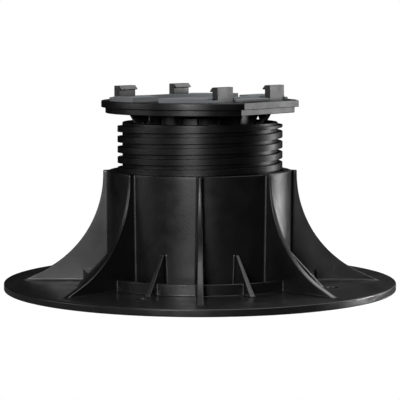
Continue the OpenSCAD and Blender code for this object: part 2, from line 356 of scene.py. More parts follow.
class Tree:
    """A small helper that fills a node tree and wires it."""

    def __init__(self, nodes: bpy.types.NodeTree) -> None:
        """Takes the tree to fill."""
        self.tree = nodes

    def node(self, kind: str, **values: object) -> bpy.types.Node:
        """Adds a node and sets its properties."""
        made = self.tree.nodes.new(kind)
        for key, value in values.items():
            setattr(made, key, value)
        return made

    def wire(self, source: bpy.types.NodeSocket, target: bpy.types.NodeSocket) -> None:
        """Joins two sockets."""
        self.tree.links.new(source, target)

    def put(self, target: bpy.types.NodeSocket, value: object) -> None:
        """Wires a socket, or sets its own value."""
        if isinstance(value, bpy.types.NodeSocket):
            self.wire(value, target)
        else:
            target.default_value = value

    def fed(self, kind: str, given: dict[str, object], **values: object) -> bpy.types.Node:
        """Adds a node, sets its properties and fills its inputs.

        Args:
            kind: kind of node.
            given: a socket or a plain value for each input, by the input's name.
            **values: the node's properties.

        Returns:
            The node.
        """
        made = self.node(kind, **values)
        for name, value in given.items():
            self.put(made.inputs[name], value)
        return made

    def math(self, how: str, a: object, b: object = 0.0) -> bpy.types.NodeSocket:
        """Adds a sum, product or other operation and returns its result."""
        made = self.node("ShaderNodeMath", operation=how)
        self.put(made.inputs[0], a)
        self.put(made.inputs[1], b)
        return made.outputs[0]

    def vector(self, **parts: object) -> bpy.types.NodeSocket:
        """Joins X, Y and Z parts to a vector; parts that aren't given are zero."""
        return self.fed("ShaderNodeCombineXYZ", parts).outputs[0]


@dataclass(frozen=True)
class TreeInput:
    """One named input of a Geometry Nodes tree."""

    name: str
    kind: str
    value: object = None


class ShapeTree:
    """A Geometry Nodes tree with named inputs, built once and used on several pieces."""

    name = "shape"
    inputs: tuple[TreeInput, ...] = ()

    def __init__(self) -> None:
        """Builds the tree."""
        self.group = bpy.data.node_groups.new(self.name, "GeometryNodeTree")
        face = self.group.interface
        face.new_socket("Geometry", in_out="INPUT", socket_type="NodeSocketGeometry")
        self.sockets = {}
        for item in self.inputs:
            made = face.new_socket(item.name, in_out="INPUT", socket_type=item.kind)
            if item.value is not None:
                made.default_value = item.value
            self.sockets[item.name] = made.identifier
        face.new_socket("Geometry", in_out="OUTPUT", socket_type="NodeSocketGeometry")
        self.kit = Tree(self.group)
        self.given = self.kit.node("NodeGroupInput").outputs
        self.result = self.kit.node("NodeGroupOutput").inputs[0]
        self.build()

    def build(self) -> None:
        """Fills the tree; each kind of tree has its own."""
        raise NotImplementedError

    def moved(self, shape: bpy.types.NodeSocket, **how: object) -> bpy.types.NodeSocket:
        """Moves or turns a shape inside the tree."""
        return self.kit.fed("GeometryNodeTransform", {"Geometry": shape, **how}).outputs[0]

    def dress(self, shape: bpy.types.NodeSocket) -> None:
        """Gives a shape the tree's finish and makes it the tree's result."""
        given = {"Geometry": shape, "Material": self.given["Finish"]}
        dressed = self.kit.fed("GeometryNodeSetMaterial", given)
        self.kit.wire(dressed.outputs[0], self.result)

    def run(self, obj: bpy.types.Object, **values: object) -> bpy.types.Object:
        """Runs the tree on an object and keeps the result as a plain mesh.

        Args:
            obj: the object that carries the tree.
            **values: inputs by name, with _ for a space.

        Returns:
            The same object with its new mesh.
        """
        modifier = obj.modifiers.new(self.name, "NODES")
        modifier.node_group = self.group
        for key, value in values.items():
            modifier[self.sockets[key.replace("_", " ")]] = value
        return applied(obj)


class RingTree(ShapeTree):
    """Repeats a piece in a ring about the Z axis."""

    name = "ring_of_copies"
    inputs = (
        TreeInput("Count", "NodeSocketInt", 4),
        TreeInput("Turn", "NodeSocketFloat", 0.0),
        TreeInput("Finish", "NodeSocketMaterial"),
    )

    def build(self) -> None:
        """Puts one copy at each of a number of points and turns it by its share of a whole turn."""
        kit, given = self.kit, self.given
        points = kit.fed("GeometryNodePoints", {"Count": given["Count"]})
        number = kit.node("GeometryNodeInputIndex").outputs[0]
        share = kit.math("DIVIDE", kit.math("MULTIPLY", number, math.tau), given["Count"])
        copies = kit.fed("GeometryNodeInstanceOnPoints", {
            "Points": points.outputs[0], "Instance": given["Geometry"],
            "Rotation": kit.vector(Z=kit.math("ADD", share, given["Turn"]))})
        real = kit.fed("GeometryNodeRealizeInstances", {"Geometry": copies.outputs[0]})
        self.dress(real.outputs[0])


class ThreadTree(ShapeTree):
    """Sweeps a rounded ridge along a helix, thinning out at both ends."""

    name = "helical_ridge"
    thinnest = 0.04
    edge_steps = 4
    merge = 0.02
    inputs = (
        TreeInput("Root Radius", "NodeSocketFloat"),
        TreeInput("Start Height", "NodeSocketFloat"),
        TreeInput("Start Angle", "NodeSocketFloat"),
        TreeInput("Turns", "NodeSocketFloat"),
        TreeInput("Pitch", "NodeSocketFloat"),
        TreeInput("Depth", "NodeSocketFloat"),
        TreeInput("Root Width", "NodeSocketFloat"),
        TreeInput("Crest Width", "NodeSocketFloat"),
        TreeInput("Edge Radius", "NodeSocketFloat"),
        TreeInput("Foot", "NodeSocketFloat"),
        TreeInput("Side", "NodeSocketFloat", 1.0),
        TreeInput("Runout Turns", "NodeSocketFloat", 0.1),
        TreeInput("Steps", "NodeSocketInt", 96),
        TreeInput("Top", "NodeSocketFloat", 1.0),
        TreeInput("Finish", "NodeSocketMaterial"),
    )

    def build(self) -> None:
        """Draws the helix and the ridge's section, sweeps one along the other and dresses it."""
        kit, given = self.kit, self.given
        turns = given["Turns"]
        helix = kit.fed("GeometryNodeCurveSpiral", {
            "Reverse": True, "Resolution": given["Steps"], "Rotations": turns,
            "Start Radius": given["Root Radius"], "End Radius": given["Root Radius"],
            "Height": kit.math("MULTIPLY", turns, given["Pitch"])})
        upright = kit.fed("GeometryNodeSetCurveNormal", {"Curve": helix.outputs[0]}, mode="Z_UP")
        along = kit.math("MULTIPLY", kit.node("GeometryNodeSplineParameter").outputs["Factor"], turns)
        nearest = kit.math("MINIMUM", along, kit.math("SUBTRACT", turns, along))
        fade = kit.fed("ShaderNodeMapRange", {
            "To Min": self.thinnest, "Value": kit.math("DIVIDE", nearest, given["Runout Turns"])},
            interpolation_type="SMOOTHSTEP")

        whole = kit.math("ADD", given["Depth"], given["Foot"])
        section = kit.fed("GeometryNodeCurvePrimitiveQuadrilateral", {
            "Height": whole, "Bottom Width": given["Root Width"], "Top Width": given["Crest Width"],
            "Offset": 0.0}, mode="TRAPEZOID")
        eased = kit.fed("GeometryNodeFilletCurve", {
            "Curve": section.outputs[0], "Count": self.edge_steps, "Radius": given["Edge Radius"]},
            mode="POLY")
        lift = kit.math("SUBTRACT", kit.math("MULTIPLY", whole, 0.5), given["Foot"])
        quarter = kit.math("MULTIPLY", given["Side"], -math.pi / 2)
        centred = self.moved(eased.outputs[0], Translation=kit.vector(Y=lift))
        outwards = self.moved(centred, Rotation=kit.vector(Z=quarter))

        sweep = kit.fed("GeometryNodeCurveToMesh", {
            "Curve": upright.outputs[0], "Profile Curve": outwards, "Scale": fade.outputs["Result"],
            "Fill Caps": True})
        placed = self.moved(sweep.outputs[0], Translation=kit.vector(Z=given["Start Height"]),
                            Rotation=kit.vector(Z=given["Start Angle"]))
        real = kit.fed("GeometryNodeRealizeInstances", {"Geometry": placed})
        spot = kit.node("ShaderNodeSeparateXYZ")
        kit.wire(kit.node("GeometryNodeInputPosition").outputs[0], spot.inputs[0])
        low = kit.math("MINIMUM", spot.outputs["Z"], given["Top"])
        level = kit.fed("GeometryNodeSetPosition", {
            "Geometry": real.outputs[0],
            "Position": kit.vector(X=spot.outputs["X"], Y=spot.outputs["Y"], Z=low)})
        joined = kit.fed("GeometryNodeMergeByDistance", {
            "Geometry": level.outputs[0], "Distance": self.merge * MM})
        self.dress(joined.outputs[0])


# ---------------------------------------------------------------- finishes


@dataclass(frozen=True)
class Finish:
    """A procedural surface finish, laid out in Object coordinates.

    The scales are per metre and the grain's depth is in metres. Mottle is the share by which the colour
    varies, and gloss_spread how far the roughness goes under and over its value.
    """

    name: str
    colour: tuple[float, float, float]
    roughness: float
    specular: float
    grain: float = 1500.0
    grain_depth: float = 0.00005
    mottle: float = 0.12
    cloud_scale: float = 38.0
    patch_scale: float = 130.0
    gloss_spread: tuple[float, float] = (0.05, 0.06)

    def made(self) -> bpy.types.Material:
        """Builds the material: colour that varies a little, uneven gloss and a fine moulded grain."""
        material = bpy.data.materials.new(self.name)
        material.use_nodes = True
        kit = Tree(material.node_tree)
        shader = material.node_tree.nodes["Principled BSDF"]
        shader.inputs["Specular IOR Level"].default_value = self.specular
        where = kit.node("ShaderNodeTexCoord").outputs["Object"]

        def noise(scale: float, detail: float) -> bpy.types.NodeSocket:
            """Noise of a scale and detail at the surface."""
            given = {"Scale": scale, "Detail": detail, "Vector": where}
            return kit.fed("ShaderNodeTexNoise", given).outputs["Fac"]

        def spread(source: bpy.types.NodeSocket, low: float, high: float) -> bpy.types.NodeSocket:
            """Spreads the middle of a noise between two values."""
            given = {"From Min": 0.3, "From Max": 0.7, "To Min": low, "To Max": high, "Value": source}
            return kit.fed("ShaderNodeMapRange", given).outputs["Result"]

        shares = (1 - self.mottle, 1 + self.mottle)
        dark, light = ((*(c * share for c in self.colour), 1.0) for share in shares)
        patchy = noise(self.patch_scale, 4.0)
        colour = kit.fed("ShaderNodeMix", {
            "Factor": spread(noise(self.cloud_scale, 3.0), 0.0, 1.0), "A": dark, "B": light},
            data_type="RGBA")
        height = kit.math("ADD", kit.math("MULTIPLY", noise(self.grain, 2.0), 0.7),
                          kit.math("MULTIPLY", patchy, 0.3))
        bump = kit.fed("ShaderNodeBump", {
            "Strength": 1.0, "Distance": self.grain_depth, "Height": height})
        kit.wire(colour.outputs["Result"], shader.inputs["Base Color"])
        under, over = self.gloss_spread
        kit.wire(spread(patchy, self.roughness - under, self.roughness + over),
                 shader.inputs["Roughness"])
        kit.wire(bump.outputs["Normal"], shader.inputs["Normal"])
        return material


MOULDED_BLACK = Finish("moulded_black", (0.0046, 0.0046, 0.0050), 0.34, 0.5)
COLUMN_BLACK = Finish("column_black", (0.0046, 0.0046, 0.0050), 0.35, 0.34)
HEAD_BLACK = Finish("head_black", (0.0046, 0.0046, 0.0050), 0.35, 0.40)
INNER_BLACK = Finish("inner_black", (0.0060, 0.0060, 0.0064), 0.48, 0.4, mottle=0.1)
GRIP_RUBBER = Finish("grip_rubber", (0.172, 0.183, 0.191), 0.7, 0.3, 2600.0, 0.00012, 0.1)


# ---------------------------------------------------------------- the pedestal


@dataclass
class Part:
    """A sub-assembly that rides on one body of the frame."""

    body: str = "base"
    slot: str = "black_plastic"

    def settle(self, obj: bpy.types.Object, material: bpy.types.Material,
               *nodes: str) -> bpy.types.Object:
        """Dresses a finished piece and hands it to its body.

        Args:
            obj: the piece.
            material: its finish.
            *nodes: solids of the frame that it stands for.

        Returns:
            The same piece.
        """
        obj.data.materials.clear()
        obj.data.materials.append(material)
        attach(obj, self.body)
        if nodes:
            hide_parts(*nodes)
        log.info("%s: %d faces on %s", obj.name, len(obj.data.polygons), self.body)
        return obj

    def finish(self, obj: bpy.types.Object, material: bpy.types.Material, *nodes: str,
               sharp: float = 38.0) -> bpy.types.Object:
        """Turns a closed piece's faces outwards, shades it and settles it."""
        outward(obj)
        return self.settle(shaded(obj, sharp), material, *nodes)


@dataclass
class Screw:
    """The helix that the column and the base share.

    The ridge's middle lies out_drop under the rim in the direction out_turn, and the ridge is cut off
    level at cut_depth, down to a strip of height least. It thins out over runout turns, and its foot
    reaches into the wall.
    """

    core_r: float = 39.5
    depth: float = 2.5
    pitch: float = 5.23
    crest_w: float = 3.0
    root_w: float = 3.5
    gap: float = 0.32
    out_turn: float = 48.5
    rim_z: float = 84.8
    out_drop: float = 0.75
    cut_depth: float = 1.4
    least: float = 0.35
    edge_r: float = 0.14
    foot: float = 0.5
    runout: float = 0.09

    def height(self, degrees: float) -> float:
        """Height of the ridge's middle at an angle counted on over the turns."""
        return self.rim_z - self.out_drop + self.pitch * (degrees - self.out_turn) / 360

    def angle(self, z: float) -> float:
        """Angle at which the ridge's middle has a height."""
        return self.out_turn + 360 * (z - self.rim_z + self.out_drop) / self.pitch


@dataclass
class Base(Part):
    """Flange, finned tube, low wall and the thread inside the tube: one black moulding."""

    flange_r: float = 100.0
    flange_t: float = 3.6
    height: float = 60.2
    bore_r: float = 42.32
    tube_r: float = 46.47
    turn: float = -11.5
    fins: int = 8
    fin_top_out: float = 2.9
    fin_upright: float = 1.7
    fin_arc_r: float = 55.8
    fin_slope: float = 24.5
    fin_t_top: float = 1.6
    fin_t_foot: float = 3.3
    fin_root_r: float = 1.5
    gusset_h: float = 18.2
    gusset_out: float = 19.8
    gusset_top_out: float = 1.3
    gusset_t_top: float = 1.7
    gusset_t_foot: float = 2.9
    wall_h: float = 5.6
    wall_t: float = 3.0
    wall_out: float = 12.4
    hole_r: float = 2.6
    hole_circle_r: float = 71.5
    foot_fillet: float = 0.9
    ease: float = 0.5
    rim_ease: float = 0.6
    fin_nose_r: float = 0.5
    gusset_root_r: float = 1.0
    gusset_nose_r: float = 0.3
    wall_ease: float = 0.45
    wall_fillet: float = 0.5
    wall_corner_r: float = 0.9
    lap: float = 0.4
    notch: float = 0.7
    notch_h: float = 0.75
    notch_angle: float = 14.5
    nut_turns: float = 3.6
    nut_root_w: float = 1.6
    nut_crest_w: float = 1.1
    nut_edge_r: float = 0.25

    @property
    def wall_faces(self) -> tuple[float, float]:
        """Radii of the low wall's outer and inner face."""
        return self.tube_r + self.wall_out, self.tube_r + self.wall_out - self.wall_t

    @property
    def fin_arc_z(self) -> float:
        """Height of the middle of the fins' arc."""
        return self.height - self.fin_upright

    @property
    def pitch(self) -> float:
        """Angle between a fin and the gusset beside it."""
        return 180 / self.fins

    def fin_edge(self, z: float) -> tuple[float, float]:
        """Reach of a fin at a height, and the slope of its edge there in radians."""
        top_r = self.tube_r + self.fin_top_out
        centre_r, centre_z = top_r + self.fin_arc_r, self.fin_arc_z
        slope = math.radians(self.fin_slope)
        foot_r = centre_r - self.fin_arc_r * math.sin(slope)
        foot_z = centre_z - self.fin_arc_r * math.cos(slope)
        if z >= centre_z:
            return top_r, math.pi / 2
        if z <= foot_z:
            return foot_r + (foot_z - z) / math.tan(slope), slope
        down = centre_z - z
        return (centre_r - math.sqrt(self.fin_arc_r**2 - down**2),
                math.pi / 2 - math.asin(down / self.fin_arc_r))

    def gusset_edge(self, z: float) -> tuple[float, float]:
        """Reach of a gusset at a height, and the slope of its edge."""
        share = 1 - (z - self.flange_t) / self.gusset_h
        run = self.gusset_out - self.gusset_top_out
        reach = self.gusset_top_out + run * share if share >= 0 else 0.0
        return self.tube_r + reach, math.atan2(self.gusset_h, run)

    def web(self, reach: float, slope: float, half: float, root_r: float, nose_r: float,
            root_steps: int, nose_steps: int) -> Loop:
        """Level section of a fin or gusset that stands out of the tube along +X.

        Args:
            reach: distance of its edge from the axis.
            slope: slope of the edge, which stretches the section's rounding.
            half: half its thickness.
            root_r: fillet against the tube.
            nose_r: rounding of the edge.
            root_steps: chords in a fillet.
            nose_steps: chords in a rounding.

        Returns:
            The section from the -Y side to the +Y side, on the tube at both ends.
        """
        out = reach - self.tube_r
        if out <= 0.02:
            count = 2 * (root_steps + nose_steps + 4)
            span = math.asin((half + root_r) / (self.tube_r + root_r))
            return arc((0, 0), self.tube_r, -math.degrees(span), math.degrees(span), count - 1)
        long = min(nose_r / math.sin(slope), 0.4 * out)
        fillet = min(root_r, 0.5 * out)
        wide = min(nose_r, 0.8 * half)
        centre_x = math.sqrt((self.tube_r + fillet) ** 2 - (half + fillet) ** 2)
        side: Loop = []
        for k in range(nose_steps + 1):
            a = math.pi / 2 * (1 - k / nose_steps)
            side.append((reach - long + long * math.sin(a), half - wide + wide * math.cos(a)))
        start = min(centre_x, reach - long)
        for k in (1, 2):
            side.append((reach - long + (start - reach + long) * k / 3, half))
        lean = math.degrees(math.atan2(half + fillet, centre_x))
        side += arc((centre_x, half + fillet), fillet, -90.0, -180.0 + lean, root_steps)
        return [(x, -y) for x, y in reversed(side)] + side

    def section(self, z: float) -> Loop:
        """Whole level section of the finned tube at a height, anticlockwise."""
        loop: Loop = []
        sunk = self.flange_t - 0.5
        rise = (z - sunk) / (self.height - sunk)
        half = (self.fin_t_foot + (self.fin_t_top - self.fin_t_foot) * max(0.0, rise)) / 2
        fin_r, fin_slope = self.fin_edge(z)
        gusset_r, gusset_slope = self.gusset_edge(z)
        fin = self.web(fin_r, fin_slope, half, self.fin_root_r, self.fin_nose_r, 6, 4)
        drop = min(1.0, max(0.0, 1 - (z - self.flange_t) / self.gusset_h))
        thin = (self.gusset_t_top + (self.gusset_t_foot - self.gusset_t_top) * drop) / 2
        gusset = self.web(gusset_r, gusset_slope, thin, self.gusset_root_r, self.gusset_nose_r, 4, 3)
        webs = [turned(gusset if k % 2 else fin, self.turn + k * self.pitch) for k in range(2 * self.fins)]
        for k, web in enumerate(webs):
            loop += web
            ahead = webs[(k + 1) % len(webs)][0]
            a = math.degrees(math.atan2(web[-1][1], web[-1][0]))
            b = math.degrees(math.atan2(ahead[1], ahead[0]))
            b += 360.0 if b < a else 0.0
            loop += arc((0, 0), self.tube_r, a, b, 7)[1:-1]
        return loop

    def levels(self) -> list[float]:
        """Heights of the finned tube's sections, closer where its edges lie flatter."""
        lowest = 90.0 - self.fin_slope
        out = [self.flange_t + d for _, d in easing(self.foot_fillet, 6)]
        foot_z = self.fin_arc_z - self.fin_arc_r * math.sin(math.radians(lowest))
        out += [out[-1] + (foot_z - out[-1]) * k / 9 for k in range(1, 10)]
        out += [self.fin_arc_z - self.fin_arc_r * math.sin(math.radians(lowest * (1 - k / 44)))
                for k in range(1, 45)]
        out += [self.flange_t + self.gusset_h + step for step in (0.12, 0.0, -0.12, -0.5, -1.0)]
        out += [self.height - s for s, _ in easing(self.ease, 4)]
        return sorted(set(round(z, 4) for z in out))

    def finned_tube(self) -> bpy.types.Object:
        """The tube with its fins and gussets, filleted at their roots and at the flange."""
        mesh = Mesh()
        rings = []
        for z in self.levels():
            loop = self.section(z)
            low = self.foot_fillet - (z - self.flange_t)
            if low > 0:
                spread = self.foot_fillet - math.sqrt(max(0.0, self.foot_fillet**2 - low**2))
                loop = inset(loop, -spread)
            high = z - (self.height - self.ease)
            if high > 0:
                loop = inset(loop, self.ease - math.sqrt(max(0.0, self.ease**2 - high**2)))
            rings.append(mesh.ring((x, y, z) for x, y in loop))
        foot = [mesh.points[i] for i in rings[0]]
        rings.insert(0, mesh.ring((x, y, self.flange_t - self.lap) for x, y, _ in foot))
        angles = [math.atan2(y, x) for x, y, _ in foot]

        def round_ring(radius: float, z: float) -> range:
            """A ring with a point under or over each point of the foot."""
            return mesh.ring((radius * math.cos(a), radius * math.sin(a), z) for a in angles)

        middle = (self.bore_r + self.tube_r) / 2
        rings.append(round_ring(self.tube_r - self.ease - 0.3, self.height))
        # The bore's eased edge lies on whole hundredths of a millimetre.
        rings += [round_ring(self.bore_r + round(s, 2), self.height - round(d, 2))
                  for s, d in easing(self.ease, 4)]
        rings += [round_ring(self.bore_r, self.height * k / 6) for k in (5, 4, 3, 2, 1)]
        rings += [round_ring(self.bore_r, 0.3), round_ring(self.bore_r + 0.3, 0.0),
                  round_ring(middle, 0.0), round_ring(middle, self.flange_t - self.lap)]
        mesh.skin(rings, closed=True)
        return mesh.made("finned_tube")

    def flange(self) -> bpy.types.Object:
        """The round foot plate with eased rim, fixing holes and small rim notches."""
        outer = circle(self.flange_r, RIM_STEPS)
        inner = list(reversed(circle((self.bore_r + self.tube_r) / 2, BORE_STEPS)))
        quarters = [self.turn + 4 * self.pitch * k for k in range(self.fins // 2)]
        holes = []
        for quarter in quarters:
            [(x0, y0)] = turned([(self.hole_circle_r, 0.0)], quarter + self.pitch)
            holes.append([(x0 + x, y0 + y) for x, y in reversed(circle(self.hole_r, 32))])
        mesh = Mesh()
        mesh.prism([outer, inner, *holes], 0.0, self.flange_t, self.ease, self.rim_ease, steps=4)
        plate = mesh.made("flange")
        tool = Mesh()
        notch = oblong(self.flange_r - self.notch, self.flange_r + 1.0, -self.notch, self.notch)
        for quarter in quarters:
            for side in (-1, 1):
                turn = quarter + 3 * self.pitch + self.notch_angle * side
                tool.prism([turned(notch, turn)], -1.0, self.notch_h)
        cutter = tool.made("notch_tool")
        cut = plate.modifiers.new("notches", "BOOLEAN")
        cut.operation = "DIFFERENCE"
        cut.solver = "EXACT"
        cut.object = cutter
        applied(plate)
        bpy.data.objects.remove(cutter)
        return plate

    def low_wall(self) -> bpy.types.Object:
        """The low round wall that runs through the fins and gussets, with eased top and filleted foot."""
        outer, inner = self.wall_faces
        top = self.flange_t + self.wall_h
        low, high = easing(self.wall_fillet, 4), easing(self.wall_ease, 3)
        profile = [(inner - self.wall_fillet, self.flange_t - self.lap)]
        profile += [(inner - s, self.flange_t + d) for s, d in low]
        profile += [(inner + d, top - s) for s, d in high]
        profile += [(outer - s, top - d) for s, d in high]
        profile += [(outer + s, self.flange_t + d) for s, d in reversed(low)]
        profile += [(outer + self.wall_fillet, self.flange_t - self.lap)]
        mesh = Mesh()
        mesh.revolve(profile, WALL_STEPS)
        return mesh.made("low_wall")

    def wall_corners(self) -> bpy.types.Object:
        """The fillets that stand where the low wall meets a fin or a gusset."""
        radius, top = self.wall_corner_r, self.flange_t + self.wall_h - 0.2
        mesh = Mesh()
        for k in range(2 * self.fins):
            half = (self.gusset_t_foot if k % 2 else self.fin_t_foot) / 2
            for face, away in zip(self.wall_faces, (1, -1)):
                at = math.sqrt(face**2 - half**2)
                back, ahead = at - away * self.lap, at + away * radius
                bend = arc((ahead, half + radius), radius, 270.0, 270.0 - 90.0 * away, 5)
                loop = [*bend, (back, half + radius), (back, half - self.lap), (ahead, half - self.lap)]
                for side in (-1, 1):
                    corner = [(x, side * y) for x, y in loop]
                    if side * away < 0:
                        corner.reverse()
                    mesh.prism([turned(corner, self.turn + self.pitch * k)], self.flange_t - 0.3, top)
        return mesh.made("wall_corners")

    def inner_thread(self, screw: Screw, tree: ThreadTree,
                     material: bpy.types.Material) -> bpy.types.Object:
        """The ridge inside the tube that the column's thread runs in."""
        top = self.height - screw.root_w / 2
        end = screw.angle(top) + 180
        start = end - 360 * self.nut_turns
        tip = screw.core_r + screw.gap
        obj = Mesh().made("inner_thread")
        return tree.run(
            obj, Root_Radius=self.bore_r * MM, Start_Height=(screw.height(start) - screw.pitch / 2) * MM,
            Start_Angle=math.radians(start), Turns=self.nut_turns, Pitch=screw.pitch * MM,
            Depth=(self.bore_r - tip) * MM, Root_Width=self.nut_root_w * MM,
            Crest_Width=self.nut_crest_w * MM, Edge_Radius=self.nut_edge_r * MM,
            Foot=screw.foot * MM, Side=-1.0, Runout_Turns=screw.runout, Finish=material)

    def build(self, material: bpy.types.Material, screw: Screw, tree: ThreadTree) -> None:
        """Makes, shades and settles every piece of the base."""
        self.finish(self.finned_tube(), material, "base", sharp=50.0)
        for piece in (self.flange(), self.low_wall(), self.wall_corners(),
                      self.inner_thread(screw, tree, material)):
            self.finish(piece, material)


@dataclass
class Column(Part):
    """Hollow column with a coarse thread outside and a ledge inside."""

    body: str = "column"
    height: float = 62.0
    bore_r: float = 37.0
    ledge_z: float = 73.3
    ledge_t: float = 2.5
    ledge_w: float = 8.8
    ease: float = 0.5

    def wall(self, screw: Screw) -> bpy.types.Object:
        """The turned wall with eased rims and the ledge for the seat ring."""
        top, low = screw.rim_z, screw.rim_z - self.height
        ledge = self.bore_r - self.ledge_w
        outline = [(self.bore_r, low), (screw.core_r, low), (screw.core_r, top), (self.bore_r, top),
                   (self.bore_r, self.ledge_z), (ledge, self.ledge_z),
                   (ledge, self.ledge_z - self.ledge_t), (self.bore_r, self.ledge_z - self.ledge_t)]
        mesh = Mesh()
        mesh.revolve(round_corners(outline, self.ease, 4), WALL_STEPS)
        return mesh.made("column_wall")

    def thread(self, screw: Screw, tree: ThreadTree, material: bpy.types.Material) -> bpy.types.Object:
        """The ridge outside the wall, cut off level just under the rim."""
        start = screw.angle(screw.rim_z - self.height + screw.root_w / 2 + self.ease)
        cut = screw.rim_z - screw.cut_depth
        end = screw.angle(cut + screw.crest_w / 2 - screw.least)
        obj = Mesh().made("column_thread")
        return tree.run(
            obj, Root_Radius=screw.core_r * MM, Start_Height=screw.height(start) * MM,
            Start_Angle=math.radians(start), Turns=(end - start) / 360,
            Pitch=screw.pitch * MM, Depth=screw.depth * MM, Root_Width=screw.root_w * MM,
            Crest_Width=screw.crest_w * MM, Edge_Radius=screw.edge_r * MM, Foot=screw.foot * MM,
            Side=1.0, Runout_Turns=screw.runout, Top=cut * MM, Finish=material)

    def build(self, material: bpy.types.Material, screw: Screw, tree: ThreadTree) -> None:
        """Makes, shades and settles the column."""
        self.finish(self.wall(screw), material, "threaded_column")
        self.finish(self.thread(screw, tree, material), material)


@dataclass
class SeatRing(Part):
    """The ring between column and head, with a spherical seat."""

    body: str = "seat"
    low: float = 73.6
    height: float = 8.0
    outer_r: float = 36.7
    ball_r: float = 40.8
    ball_z: float = 107.0
    ease: float = 0.4

    def build(self, material: bpy.types.Material) -> None:
        """Makes, shades and settles the ring."""
        top = self.low + self.height
        heights = [self.low + self.height * k / 12 for k in range(13)]
        seat = [(math.sqrt(self.ball_r**2 - (self.ball_z - z) ** 2), z) for z in heights]
        outline = [(self.outer_r, self.low), (self.outer_r, top), *reversed(seat)]
        mesh = Mesh()
        mesh.revolve(round_corners(outline, self.ease, 3), RING_STEPS)
        self.finish(mesh.made("seat_ring_turned"), material, "seat_ring")


